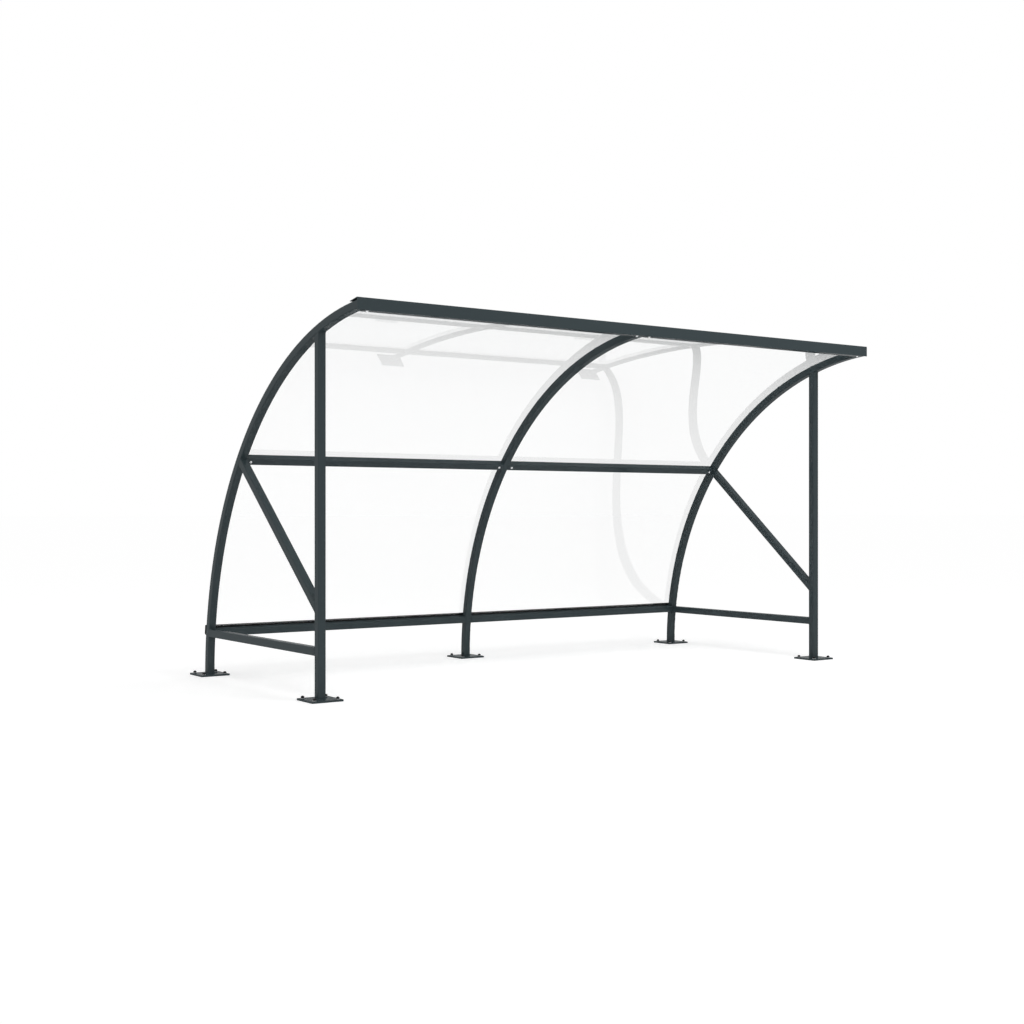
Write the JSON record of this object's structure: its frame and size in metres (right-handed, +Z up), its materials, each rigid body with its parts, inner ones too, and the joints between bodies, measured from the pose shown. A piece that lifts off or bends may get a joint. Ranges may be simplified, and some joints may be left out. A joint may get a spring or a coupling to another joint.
{
  "type": "bike shelter",
  "caption": "Open bike shelter with curved box-section arches, clear curved roof and back sheets, braced front posts and a folded fascia, bolted down through square base plates.",
  "frame": {"origin": "on the ground under the centre of the shelter's bounding box", "axes": "+X along the shelter to the right as seen from its open front, +Y to its closed back, +Z up"},
  "size_m": [4.3, 2.19, 2.281],
  "materials": {
    "frame_paint": "anthracite satin powder coat on box section",
    "trim_paint": "anthracite satin powder coat on folded sheet",
    "strip_black": "black satin coat on a pressed strip",
    "plate_paint": "anthracite satin powder coat on plate",
    "clear_sheet": "clear gloss polycarbonate",
    "dark_fixing": "black coated anchor bolts",
    "bright_fixing": "bright zinc plated screws"
  },
  "bodies": {
    "root": {"left_arch": "frame_paint", "middle_arch": "frame_paint", "right_arch": "frame_paint", "left_front_post": "frame_paint", "right_front_post": "frame_paint", "left_brace": "frame_paint", "right_brace": "frame_paint", "left_end_rail": "frame_paint", "right_end_rail": "frame_paint", "left_mid_rail": "frame_paint", "right_mid_rail": "frame_paint", "left_bottom_rail": "frame_paint", "right_bottom_rail": "frame_paint", "front_fascia": "trim_paint", "left_fascia_cleat": "trim_paint", "middle_fascia_cleats": "trim_paint", "right_fascia_cleat": "trim_paint", "left_sheet_strip": "strip_black", "right_sheet_strip": "strip_black", "left_clear_sheet": "clear_sheet", "right_clear_sheet": "clear_sheet", "left_arch_base_plate": "plate_paint", "middle_arch_base_plate": "plate_paint", "right_arch_base_plate": "plate_paint", "left_post_base_plate": "plate_paint", "right_post_base_plate": "plate_paint"}
  },
  "joints": []
}
